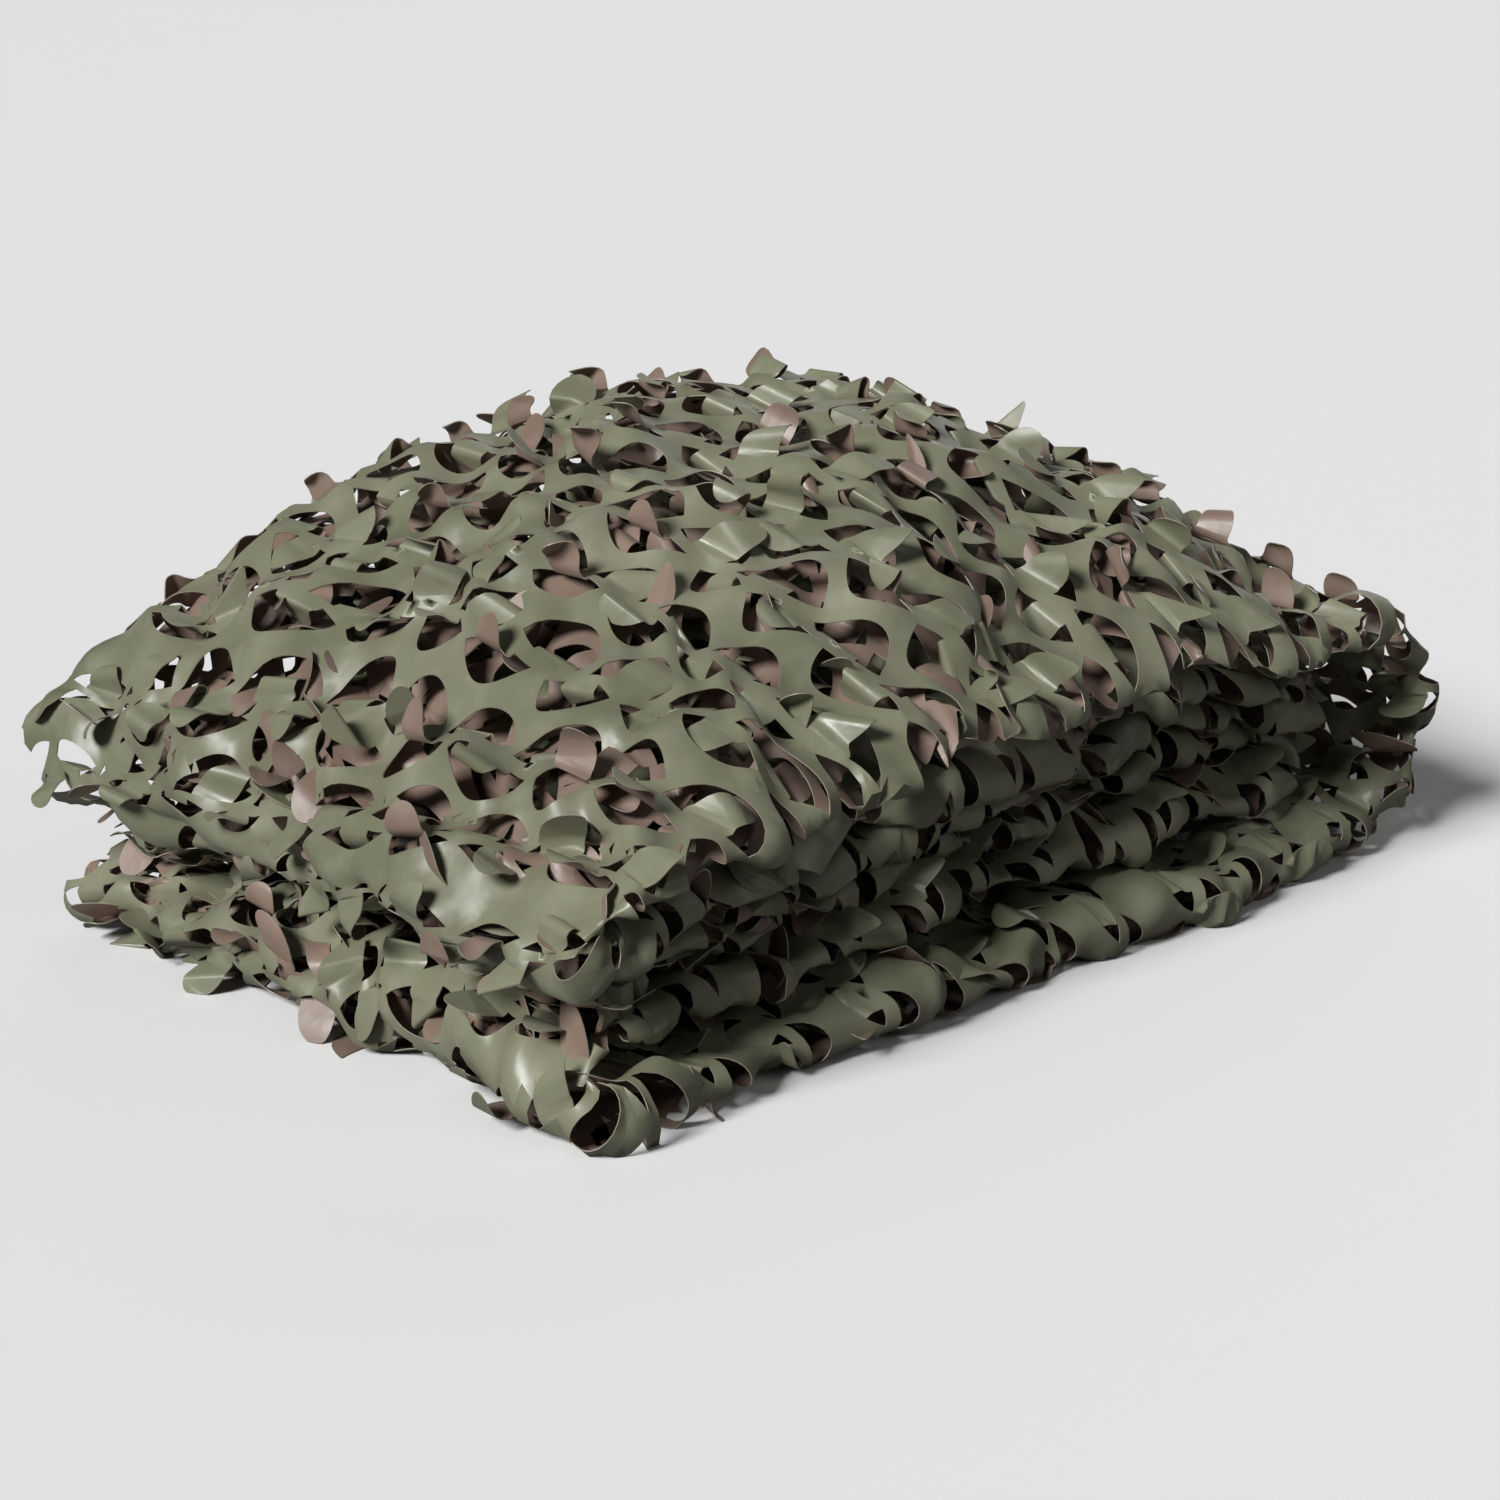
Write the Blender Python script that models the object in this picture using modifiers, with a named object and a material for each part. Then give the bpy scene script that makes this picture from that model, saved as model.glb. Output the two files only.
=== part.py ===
"""A camouflage net, folded up and lying on a floor.

The net is one long piece of cut film. It is folded in half along its length, with the fold at
the front, then in half across, with both ends turned in twice. So it lies in six double passes,
numbered from the floor up, under a rounded top. The outer face is outside of every fold.
"""

import math
from collections import namedtuple

import bmesh
import bpy
import numpy as np

# The driving sizes, in metres. The pile lies along X, and its long fold is at -Y.
THICKNESS = 0.003
FRONT_FOLD = -0.300
BACK_EDGE = 0.296
LEFT_TURN = -0.400
RIGHT_TURN = 0.356
INNER_TURN = 0.326
LOWER_END = -0.385
UPPER_END = -0.370

# The pile's height at its four corners, how far its back edge droops below the two far ones, and
# how far its middle rises over them.
NEAR_LEFT_HEIGHT = 0.168
NEAR_RIGHT_HEIGHT = 0.192
FAR_LEFT_HEIGHT = 0.228
FAR_RIGHT_HEIGHT = 0.262
BACK_DROP = 0.035
CROWN_HEIGHT = 0.146
CROWN_HALF_LENGTH = 0.420
CROWN_PEAK_Y = 0.013
CROWN_REACH_Y = 0.345

# The soft humps that the layers below leave in the top: length along X and Y, and height.
Hump = namedtuple("Hump", "length_x length_y height")
HUMPS = (
    Hump(length_x=0.26, length_y=0.33, height=0.008),
    Hump(length_x=0.43, length_y=0.21, height=0.006),
)

# One row for each layer from the floor up, two layers to a pass. Each value is the layer's height
# as a share of the pile's: at the near left corner, the far left one, the right end and the middle.
Layer = namedtuple("Layer", "near far right middle")
LAYERS = (
    Layer(near=0.000, far=0.000, right=0.000, middle=0.000),
    Layer(near=0.190, far=0.100, right=0.190, middle=0.100),
    Layer(near=0.320, far=0.170, right=0.250, middle=0.190),
    Layer(near=0.410, far=0.225, right=0.360, middle=0.280),
    Layer(near=0.450, far=0.262, right=0.405, middle=0.345),
    Layer(near=0.487, far=0.298, right=0.490, middle=0.425),
    Layer(near=0.524, far=0.334, right=0.530, middle=0.500),
    Layer(near=0.561, far=0.370, right=0.610, middle=0.585),
    Layer(near=0.605, far=0.410, right=0.650, middle=0.680),
    Layer(near=0.770, far=0.660, right=0.740, middle=0.790),
    Layer(near=0.895, far=0.880, right=0.905, middle=0.925),
    Layer(near=1.000, far=1.000, right=1.000, middle=1.000),
)

# How far each pass's fold lies behind the front, and its edges before the back. The middle
# passes lie a little deeper, so the top one hangs over them: twice as far at the right end.
FRONT_INSET = {1: 0.006, 2: 0.020, 3: 0.030, 4: 0.024, 5: 0.018, 6: 0.000}
BACK_INSET = {1: 0.004, 2: 0.022, 3: 0.034, 4: 0.028, 5: 0.016, 6: 0.000}

# The net from one end to the other: a Run lies along one pass, and a Turn leads from one pass to
# the next round the place where x is at. The layer of its outer face passes at reach, and the
# other one a gap inside that, or outside where face_out is -1.
Run = namedtuple("Run", "level start stop steps")
Turn = namedtuple("Turn", "start stop at side reach gap face_out length steps")
SECTIONS = (
    Run(level=4, start=UPPER_END, stop=INNER_TURN, steps=6),
    Turn(start=4, stop=5, at=INNER_TURN, side=1, reach=0.030, gap=0.014, face_out=-1, length=0.07, steps=4),
    Run(level=5, start=INNER_TURN, stop=LEFT_TURN, steps=8),
    Turn(start=5, stop=6, at=LEFT_TURN, side=-1, reach=0.055, gap=0.026, face_out=1, length=0.18, steps=6),
    Run(level=6, start=LEFT_TURN, stop=RIGHT_TURN, steps=10),
    Turn(start=6, stop=1, at=RIGHT_TURN, side=1, reach=0.120, gap=0.028, face_out=1, length=0.30, steps=8),
    Run(level=1, start=RIGHT_TURN, stop=LEFT_TURN, steps=8),
    Turn(start=1, stop=2, at=LEFT_TURN, side=-1, reach=0.040, gap=0.020, face_out=1, length=0.12, steps=6),
    Run(level=2, start=LEFT_TURN, stop=INNER_TURN, steps=8),
    Turn(start=2, stop=3, at=INNER_TURN, side=1, reach=0.026, gap=0.012, face_out=-1, length=0.06, steps=4),
    Run(level=3, start=INNER_TURN, stop=LOWER_END, steps=6),
)

# Across the net: the outer layer from its free edge to the front fold, the fold, and the other.
LAYER_WIDTH = 0.60
FOLD_WIDTH = 0.04
LAYER_STEPS = 8
FOLD_STEPS = 5

# The gaps that the cut leaves leave open. They are cut through where the net shows: in both
# layers of the top pass and of the wide turn, and in the outer layer of the two turns at the left.
LEAF_REACH = 0.040
LEAF_HALF_WIDTH = 0.026
LEAF_CORNERS = 6
OPEN_IN_BOTH_LAYERS = (4, 5)
OPEN_IN_OUTER_LAYER = (3, 7)


def clear_scene():
    for thing in list(bpy.data.objects):
        bpy.data.objects.remove(thing, do_unlink=True)


def crown(x, y):
    """How much of the crown stands at a place: 1 in the middle and 0 along the edges."""
    along = 1 - np.abs(x / CROWN_HALF_LENGTH) ** 2.2
    across = 1 - np.abs((y - CROWN_PEAK_Y) / CROWN_REACH_Y) ** 2.4
    return along * np.clip(across, 0, 1)


def pile_height(x, y):
    right = np.clip((x - LEFT_TURN) / (RIGHT_TURN - LEFT_TURN), 0, 1)
    far = np.clip((y - FRONT_FOLD) / (BACK_EDGE - FRONT_FOLD), 0, 1)
    near_edge = NEAR_LEFT_HEIGHT + (NEAR_RIGHT_HEIGHT - NEAR_LEFT_HEIGHT) * right
    far_edge = FAR_LEFT_HEIGHT + (FAR_RIGHT_HEIGHT - FAR_LEFT_HEIGHT) * right
    height = near_edge + (far_edge - near_edge) * far + CROWN_HEIGHT * crown(x, y)
    height = height - BACK_DROP * np.clip((far - 0.85) / 0.15, 0, 1) ** 2
    for phase, hump in enumerate(HUMPS, start=1):
        along = np.sin(math.tau * x / hump.length_x + phase)
        height = height + hump.height * along * np.cos(math.tau * y / hump.length_y + 2 * phase)
    return height


def layer_share(number, x, y):
    """The height of one layer as a share of the pile's height at that place."""
    layer = LAYERS[number]
    right = np.clip((x - LEFT_TURN) / (RIGHT_TURN - LEFT_TURN), 0, 1)
    far = np.clip((y - FRONT_FOLD) / (BACK_EDGE - FRONT_FOLD), 0, 1)
    middle = np.clip(crown(x, y), 0, 1)
    left_share = layer.near + (layer.far - layer.near) * far
    edge_share = left_share + (layer.right - left_share) * right
    return edge_share + (layer.middle - edge_share) * middle


def wander(place, phase):
    """How far a fold strays from its straight line."""
    return 0.005 * np.sin(math.tau * place / 0.31 + phase) + 0.003 * np.sin(math.tau * place / 0.13 + 2 * phase)


def face_share(level, face, x, y):
    """The share at which a pass's outer layer (face 1), its inner one (face -1) or its fold lies.

    The outer face looks up on the even passes and down on the odd ones.
    """
    low = layer_share(2 * level - 2, x, y)
    high = layer_share(2 * level - 1, x, y)
    up = 1 if level % 2 == 0 else -1
    return (low + high) / 2 + up * face * (high - low) / 2


def across_net(across):
    """For places across the net: the way gone from the free edge to the fold, the face, the bulge."""
    half = LAYER_WIDTH + FOLD_WIDTH / 2
    way = np.clip((half - np.abs(across - half)) / LAYER_WIDTH, 0, 1)
    angle = math.pi * np.clip((across - LAYER_WIDTH) / FOLD_WIDTH, 0, 1)
    return way, np.cos(angle), np.sin(angle)


def fold_y(level, x, way):
    """Where a pass lies across the pile, from its back edge at way 0 to its fold at way 1."""
    back = BACK_EDGE - BACK_INSET[level] + wander(x, level + 3)
    right = np.clip((x - LEFT_TURN) / (RIGHT_TURN - LEFT_TURN), 0, 1)
    front = FRONT_FOLD + FRONT_INSET[level] * (1 + right) + wander(x, level)
    return back + (front - back) * way


def fold_bulge(level, x, y):
    """How far the front fold of a pass stands out of its edge: half the space between its layers."""
    return (face_share(level, 1, x, y) - face_share(level, -1, x, y)) / 2 * pile_height(x, y)


def raised(x, y, share):
    """The point at that share of the pile's height. The lowest layer lies flat on the floor."""
    z = THICKNESS / 2 + share * (pile_height(x, y) - THICKNESS)
    return np.stack([x, y, z], axis=-1)


def on_run(run, part, across):
    """The folded place of points a given part of the way along a run."""
    way, face, bulge = across_net(across)
    x = run.start + (run.stop - run.start) * part
    y = fold_y(run.level, x, way)
    y = y - np.abs(fold_bulge(run.level, x, y)) * bulge
    return raised(x, y, face_share(run.level, face, x, y))


def on_turn(turn, part, across):
    """The folded place of points a given part of the way round a turn."""
    way, face, bulge = across_net(across)
    angle = math.pi * part
    x_at = np.full_like(angle, turn.at)
    first = (1 + np.cos(angle)) / 2
    y = fold_y(turn.start, x_at, way) * first + fold_y(turn.stop, x_at, way) * (1 - first)
    start_bulge = np.abs(fold_bulge(turn.start, x_at, y))
    stop_bulge = np.abs(fold_bulge(turn.stop, x_at, y))
    y = y - (start_bulge * first + stop_bulge * (1 - first)) * bulge
    reach = turn.reach + wander(y, turn.start) - turn.gap * (1 - turn.face_out * face) / 2
    x = turn.at + turn.side * reach * np.sin(angle)
    start_share = face_share(turn.start, face, x, y)
    stop_share = face_share(turn.stop, face, x, y)
    return raised(x, y, start_share * first + stop_share * (1 - first))


def section_length(section):
    return section.length if isinstance(section, Turn) else abs(section.stop - section.start)


def grid_lines():
    """The places of the flat net's grid lines along it and across it."""
    along = [0.0]
    for section in SECTIONS:
        step = section_length(section) / section.steps
        along += [along[-1] + step * (i + 1) for i in range(section.steps)]
    layer_lines = np.linspace(0, LAYER_WIDTH, LAYER_STEPS + 1)
    fold_lines = LAYER_WIDTH + np.linspace(0, FOLD_WIDTH, FOLD_STEPS + 1)
    far_lines = layer_lines + LAYER_WIDTH + FOLD_WIDTH
    across = np.concatenate([layer_lines, fold_lines[1:-1], far_lines])
    return np.array(along), across


def open_rows():
    """The rows of the flat net's grid that have gaps: each one's depth and its number of columns."""
    rows, first = {}, 0
    for number, section in enumerate(SECTIONS):
        step = section_length(section) / section.steps
        if number in OPEN_IN_BOTH_LAYERS:
            rows.update({first + i: (step, 2 * LAYER_STEPS + FOLD_STEPS) for i in range(section.steps)})
        if number in OPEN_IN_OUTER_LAYER:
            rows.update({first + i: (step, LAYER_STEPS) for i in range(1, section.steps - 1)})
        first += section.steps
    return rows


def cut_leaf(bm, face, depth):
    """Opens the gap under one curled leaf: a D, its flat side where the leaf is joined."""
    centre = face.calc_center_median()
    turned = 1 if round(centre.y * 1000) % 2 else -1
    reach = min(LEAF_REACH, 0.52 * depth)
    leaf = []
    for corner in range(LEAF_CORNERS):
        angle = math.pi * (corner / (LEAF_CORNERS - 1) - 0.5)
        x = centre.x + turned * reach * (math.cos(angle) - 0.5)
        y = centre.y + LEAF_HALF_WIDTH * math.sin(angle)
        leaf.append(bm.verts.new((x, y, 0)))
    rim = [bm.edges.new((a, b)) for a, b in zip(leaf, leaf[1:] + leaf[:1])]
    border = list(face.edges)
    bmesh.ops.delete(bm, geom=[face], context="FACES_ONLY")
    bmesh.ops.triangle_fill(bm, edges=border + rim, use_beauty=True)


def flat_net():
    """The net before it is folded: a flat grid, with every other face opened where gaps are cut."""
    along, across = grid_lines()
    rows, columns = len(along) - 1, len(across) - 1
    bm = bmesh.new()
    bmesh.ops.create_grid(bm, x_segments=rows, y_segments=columns, size=0.5)
    for vert in bm.verts:
        row = round((vert.co.x + 0.5) * rows)
        column = round((vert.co.y + 0.5) * columns)
        vert.co = (along[row], across[column], 0)
    opened = open_rows()
    in_fold = range(LAYER_STEPS, LAYER_STEPS + FOLD_STEPS)
    for face in list(bm.faces):
        centre = face.calc_center_median()
        row = int(np.searchsorted(along, centre.x)) - 1
        column = int(np.searchsorted(across, centre.y)) - 1
        depth, width = opened.get(row, (0, 0))
        if column < width and column not in in_fold and (row + column) % 2 == 0:
            cut_leaf(bm, face, depth)
    return bm


def fold_net(bm):
    """Carries every point of the flat net to its place in the folded one."""
    bm.verts.ensure_lookup_table()
    flat = np.array([vert.co[:2] for vert in bm.verts])
    folded = np.zeros((len(flat), 3))
    start = 0.0
    for section in SECTIONS:
        length = section_length(section)
        inside = (flat[:, 0] >= start - 1e-6) & (flat[:, 0] <= start + length + 1e-6)
        part = np.clip((flat[inside, 0] - start) / length, 0, 1)
        place = on_turn if isinstance(section, Turn) else on_run
        folded[inside] = place(section, part, flat[inside, 1])
        start += length
    for vert, point in zip(bm.verts, folded):
        vert.co = point


def film_material():
    material = bpy.data.materials.new("green_film")
    material.use_nodes = True
    shader = material.node_tree.nodes["Principled BSDF"]
    shader.inputs["Base Color"].default_value = (0.27, 0.29, 0.20, 1)
    shader.inputs["Roughness"].default_value = 0.45
    shader.inputs["Metallic"].default_value = 0.0
    return material


def centre_on_base(thing):
    """Moves the net so that the middle of its box's underside is at the origin."""
    bpy.context.view_layer.update()
    solid = thing.evaluated_get(bpy.context.evaluated_depsgraph_get())
    corners = np.array([solid.matrix_world @ vert.co for vert in solid.data.vertices])
    low, high = corners.min(axis=0), corners.max(axis=0)
    thing.location.x -= (low[0] + high[0]) / 2
    thing.location.y -= (low[1] + high[1]) / 2
    thing.location.z -= low[2]


def build_net():
    bm = flat_net()
    fold_net(bm)
    bmesh.ops.recalc_face_normals(bm, faces=bm.faces)
    mesh = bpy.data.meshes.new("net")
    bm.to_mesh(mesh)
    bm.free()
    mesh.shade_smooth()
    net = bpy.data.objects.new("net", mesh)
    net.data.materials.append(film_material())
    shell = net.modifiers.new("film", "SOLIDIFY")
    shell.thickness = THICKNESS
    shell.offset = 0
    return net


clear_scene()
collection = bpy.data.collections.new("camouflage_net")
bpy.context.scene.collection.children.link(collection)
net = build_net()
collection.objects.link(net)
centre_on_base(net)
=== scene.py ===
import math
from collections import namedtuple

import bpy
import numpy as np
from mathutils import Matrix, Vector
from mathutils.geometry import delaunay_2d_cdt


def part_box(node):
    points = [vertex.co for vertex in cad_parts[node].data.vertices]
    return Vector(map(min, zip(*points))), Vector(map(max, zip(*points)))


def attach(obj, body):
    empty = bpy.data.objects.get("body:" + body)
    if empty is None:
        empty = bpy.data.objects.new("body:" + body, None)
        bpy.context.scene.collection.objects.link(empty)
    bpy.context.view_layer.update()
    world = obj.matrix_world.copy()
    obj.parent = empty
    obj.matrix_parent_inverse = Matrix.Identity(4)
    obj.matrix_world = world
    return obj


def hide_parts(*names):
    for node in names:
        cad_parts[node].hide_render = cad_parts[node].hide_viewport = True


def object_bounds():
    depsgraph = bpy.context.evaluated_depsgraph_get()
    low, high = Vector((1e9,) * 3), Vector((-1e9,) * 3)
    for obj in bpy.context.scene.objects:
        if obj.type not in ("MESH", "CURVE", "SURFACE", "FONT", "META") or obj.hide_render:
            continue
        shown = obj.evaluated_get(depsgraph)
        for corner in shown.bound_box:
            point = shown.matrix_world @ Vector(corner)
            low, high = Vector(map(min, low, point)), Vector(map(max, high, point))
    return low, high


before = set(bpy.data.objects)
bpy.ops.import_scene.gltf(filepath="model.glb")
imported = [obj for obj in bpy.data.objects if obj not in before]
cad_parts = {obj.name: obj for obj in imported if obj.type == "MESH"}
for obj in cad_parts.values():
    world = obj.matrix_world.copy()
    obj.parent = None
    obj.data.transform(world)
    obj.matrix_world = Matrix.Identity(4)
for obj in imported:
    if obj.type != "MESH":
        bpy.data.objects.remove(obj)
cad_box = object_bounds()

# ---------------------------------------------------------------------------------------------
# The net's folds. It is one long strip of coated film, folded in half along its length and then
# in half across, with both ends turned in twice. It lies loose along X in six double passes,
# numbered from the floor. Each length is in metres.
# ---------------------------------------------------------------------------------------------
SOLID_THICKNESS = 0.003
FRONT_FOLD = -0.300
BACK_EDGE = 0.296
LEFT_TURN = -0.400
RIGHT_TURN = 0.356
INNER_TURN = 0.326
LOWER_END = -0.415
UPPER_END = -0.405

NEAR_LEFT_HEIGHT = 0.168
NEAR_RIGHT_HEIGHT = 0.192
FAR_LEFT_HEIGHT = 0.228
FAR_RIGHT_HEIGHT = 0.262
BACK_DROP = 0.035
BACK_DROP_SHARE = 0.15
CROWN_HEIGHT = 0.146
CROWN_HALF_LENGTH = 0.420
CROWN_PEAK_Y = 0.013
CROWN_REACH_Y = 0.345
CROWN_POWER_X = 2.2
CROWN_POWER_Y = 2.4

Hump = namedtuple("Hump", "length_x length_y height")
HUMPS = (
    Hump(length_x=0.26, length_y=0.33, height=0.008),
    Hump(length_x=0.43, length_y=0.21, height=0.006),
)
Wander = namedtuple("Wander", "length height")
WANDERS = (Wander(length=0.31, height=0.005), Wander(length=0.13, height=0.003))

# Each layer's height as a share of the pile's: at the near left corner, the far left one, the
# right end and the middle. Two layers make a pass.
Layer = namedtuple("Layer", "near far right middle")
LAYERS = (
    Layer(near=0.000, far=0.000, right=0.000, middle=0.000),
    Layer(near=0.190, far=0.100, right=0.190, middle=0.100),
    Layer(near=0.320, far=0.170, right=0.250, middle=0.190),
    Layer(near=0.410, far=0.225, right=0.360, middle=0.280),
    Layer(near=0.450, far=0.262, right=0.405, middle=0.345),
    Layer(near=0.487, far=0.298, right=0.490, middle=0.425),
    Layer(near=0.524, far=0.334, right=0.530, middle=0.500),
    Layer(near=0.561, far=0.370, right=0.610, middle=0.585),
    Layer(near=0.605, far=0.410, right=0.650, middle=0.680),
    Layer(near=0.770, far=0.660, right=0.740, middle=0.790),
    Layer(near=0.895, far=0.880, right=0.905, middle=0.925),
    Layer(near=1.000, far=1.000, right=1.000, middle=1.000),
)
FRONT_INSET = {1: 0.006, 2: 0.020, 3: 0.030, 4: 0.024, 5: 0.018, 6: 0.000}
BACK_INSET = {1: 0.004, 2: 0.022, 3: 0.034, 4: 0.028, 5: 0.016, 6: 0.000}

# The strip from one end to the other: a Run lies along one pass, and a Turn leads from one pass
# to another. It bulges by its reach past a place along X, to the right (side 1) or the left (-1).
# Its gap is the room between its two halves, and face_out tells which half is outside.
Run = namedtuple("Run", "level start stop")
Turn = namedtuple("Turn", "start stop at side reach gap face_out length")
SECTIONS = {
    "fourth_pass": Run(level=4, start=UPPER_END, stop=INNER_TURN),
    "upper_inner_turn": Turn(4, 5, INNER_TURN, side=1, reach=0.030, gap=0.014, face_out=-1,
                             length=0.07),
    "fifth_pass": Run(level=5, start=INNER_TURN, stop=LEFT_TURN),
    "upper_left_turn": Turn(5, 6, LEFT_TURN, side=-1, reach=0.055, gap=0.026, face_out=1,
                            length=0.18),
    "top_pass": Run(level=6, start=LEFT_TURN, stop=RIGHT_TURN),
    "wide_turn": Turn(6, 1, RIGHT_TURN, side=1, reach=0.120, gap=0.028, face_out=1, length=0.30),
    "bottom_pass": Run(level=1, start=RIGHT_TURN, stop=LEFT_TURN),
    "lower_left_turn": Turn(1, 2, LEFT_TURN, side=-1, reach=0.040, gap=0.020, face_out=1,
                            length=0.12),
    "second_pass": Run(level=2, start=LEFT_TURN, stop=INNER_TURN),
    "lower_inner_turn": Turn(2, 3, INNER_TURN, side=1, reach=0.026, gap=0.012, face_out=-1,
                             length=0.06),
    "third_pass": Run(level=3, start=INNER_TURN, stop=LOWER_END),
}
NET_WIDTH = 1.24
MIDDLE = NET_WIDTH / 2


def section_length(section):
    """How much of the strip a section takes."""
    return section.length if isinstance(section, Turn) else abs(section.stop - section.start)


SECTION_STARTS = {}
NET_LENGTH = 0.0
for name, section in SECTIONS.items():
    SECTION_STARTS[name] = NET_LENGTH
    NET_LENGTH += section_length(section)
STRIP_SIZE = np.array([NET_LENGTH, NET_WIDTH])


def crown(x, y):
    """How much of the pile's crown stands at a place: 1 in the middle and 0 along the edges."""
    along = 1 - np.abs(x / CROWN_HALF_LENGTH) ** CROWN_POWER_X
    across = 1 - np.abs((y - CROWN_PEAK_Y) / CROWN_REACH_Y) ** CROWN_POWER_Y
    return along * np.clip(across, 0, 1)


def shares_of_place(x, y):
    """How far a place is on its way from left to right, and from the front to the back."""
    right = np.clip((x - LEFT_TURN) / (RIGHT_TURN - LEFT_TURN), 0, 1)
    far = np.clip((y - FRONT_FOLD) / (BACK_EDGE - FRONT_FOLD), 0, 1)
    return right, far


def pile_height(x, y):
    """The height of the pile's top: a slope from edge to edge, the crown and a few soft humps."""
    right, far = shares_of_place(x, y)
    near_edge = NEAR_LEFT_HEIGHT + (NEAR_RIGHT_HEIGHT - NEAR_LEFT_HEIGHT) * right
    far_edge = FAR_LEFT_HEIGHT + (FAR_RIGHT_HEIGHT - FAR_LEFT_HEIGHT) * right
    height = near_edge + (far_edge - near_edge) * far + CROWN_HEIGHT * crown(x, y)
    height = height - BACK_DROP * np.clip((far - (1 - BACK_DROP_SHARE)) / BACK_DROP_SHARE, 0, 1) ** 2
    for phase, hump in enumerate(HUMPS, start=1):
        along = np.sin(math.tau * x / hump.length_x + phase)
        height = height + hump.height * along * np.cos(math.tau * y / hump.length_y + 2 * phase)
    return height


def layer_share(number, x, y):
    """A layer's height at a place, as a share of the pile's."""
    layer = LAYERS[number]
    right, far = shares_of_place(x, y)
    left_share = layer.near + (layer.far - layer.near) * far
    edge_share = left_share + (layer.right - left_share) * right
    return edge_share + (layer.middle - edge_share) * np.clip(crown(x, y), 0, 1)


def wander(place, phase):
    """How far a fold or a free edge strays from its straight line."""
    total = 0.0
    for number, wave in enumerate(WANDERS, start=1):
        total = total + wave.height * np.sin(math.tau * place / wave.length + number * phase)
    return total


def face_share(level, face, x, y):
    """The height share of a pass's outer half (face 1), its inner half (face -1) or its fold."""
    low = layer_share(2 * level - 2, x, y)
    high = layer_share(2 * level - 1, x, y)
    up = 1 if level % 2 == 0 else -1
    return (low + high) / 2 + up * face * (high - low) / 2


def fold_bulge(level, x, y):
    """How far the front fold of a pass stands out: half the space between its layers."""
    return np.abs(face_share(level, 1, x, y) - face_share(level, -1, x, y)) / 2 * pile_height(x, y)


def across_net(w, bulge):
    """For places across the strip: the way from the free edge to the fold, the face, the bulge."""
    half_fold = math.pi * bulge / 2
    from_middle = w - MIDDLE
    way = np.clip((MIDDLE - np.abs(from_middle)) / (MIDDLE - half_fold), 0, 1)
    angle = math.pi / 2 * (1 + np.clip(from_middle / half_fold, -1, 1))
    return way, np.cos(angle), np.sin(angle)


def fold_y(level, x, way):
    """The place from front to back of points that are part of the way from edge to fold."""
    back = BACK_EDGE - BACK_INSET[level] + wander(x, level + 3)
    right, _ = shares_of_place(x, FRONT_FOLD)
    front = FRONT_FOLD + FRONT_INSET[level] * (1 + right) + wander(x, level)
    return back + (front - back) * way


def raised(x, y, share):
    """Points at a share of the pile's height."""
    z = SOLID_THICKNESS / 2 + share * (pile_height(x, y) - SOLID_THICKNESS)
    return np.stack([x, y, z], axis=-1)


def on_run(run, part, w):
    """Points part of the way along a run, at w across the strip."""
    x = run.start + (run.stop - run.start) * part
    bulge = fold_bulge(run.level, x, np.full_like(x, FRONT_FOLD))
    way, face, out = across_net(w, bulge)
    y = fold_y(run.level, x, way) - bulge * out
    return raised(x, y, face_share(run.level, face, x, y))


def on_turn(turn, part, w):
    """Points part of the way round a turn, at w across the strip."""
    angle = math.pi * part
    at = np.full_like(angle, turn.at)
    front = np.full_like(angle, FRONT_FOLD)
    first = (1 + np.cos(angle)) / 2
    bulge = fold_bulge(turn.start, at, front) * first + fold_bulge(turn.stop, at, front) * (1 - first)
    way, face, out = across_net(w, bulge)
    y = fold_y(turn.start, at, way) * first + fold_y(turn.stop, at, way) * (1 - first) - bulge * out
    reach = turn.reach + wander(y, turn.start) - turn.gap * (1 - turn.face_out * face) / 2
    x = turn.at + turn.side * reach * np.sin(angle)
    start_share = face_share(turn.start, face, x, y)
    stop_share = face_share(turn.stop, face, x, y)
    return raised(x, y, start_share * first + stop_share * (1 - first))


def in_pile(s, w):
    """Where points of the flat strip lie in the pile: s is along the strip and w across it."""
    s = np.clip(s, 0, NET_LENGTH)
    w = np.clip(w, 0, NET_WIDTH)
    place = np.zeros(s.shape + (3,))
    for name, section in SECTIONS.items():
        part = (s - SECTION_STARTS[name]) / section_length(section)
        inside = (part >= 0) & (part <= 1)
        lay = on_turn if isinstance(section, Turn) else on_run
        place[inside] = lay(section, part[inside], w[inside])
    return place


PLACES_ALONG = 600
PLACES_ACROSS = 160


def shift_to_solid():
    """What moves the folded strip to where the net's solid is."""
    along = np.linspace(0, NET_LENGTH, PLACES_ALONG)
    s, w = np.meshgrid(along, np.linspace(0, NET_WIDTH, PLACES_ACROSS))
    strip = in_pile(s, w).reshape(-1, 3)
    low, high = (np.array(corner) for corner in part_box("net"))
    shift = (low + high) / 2 - (strip.min(axis=0) + strip.max(axis=0)) / 2
    shift[2] = 0
    return shift


SHIFT = shift_to_solid()

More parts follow.
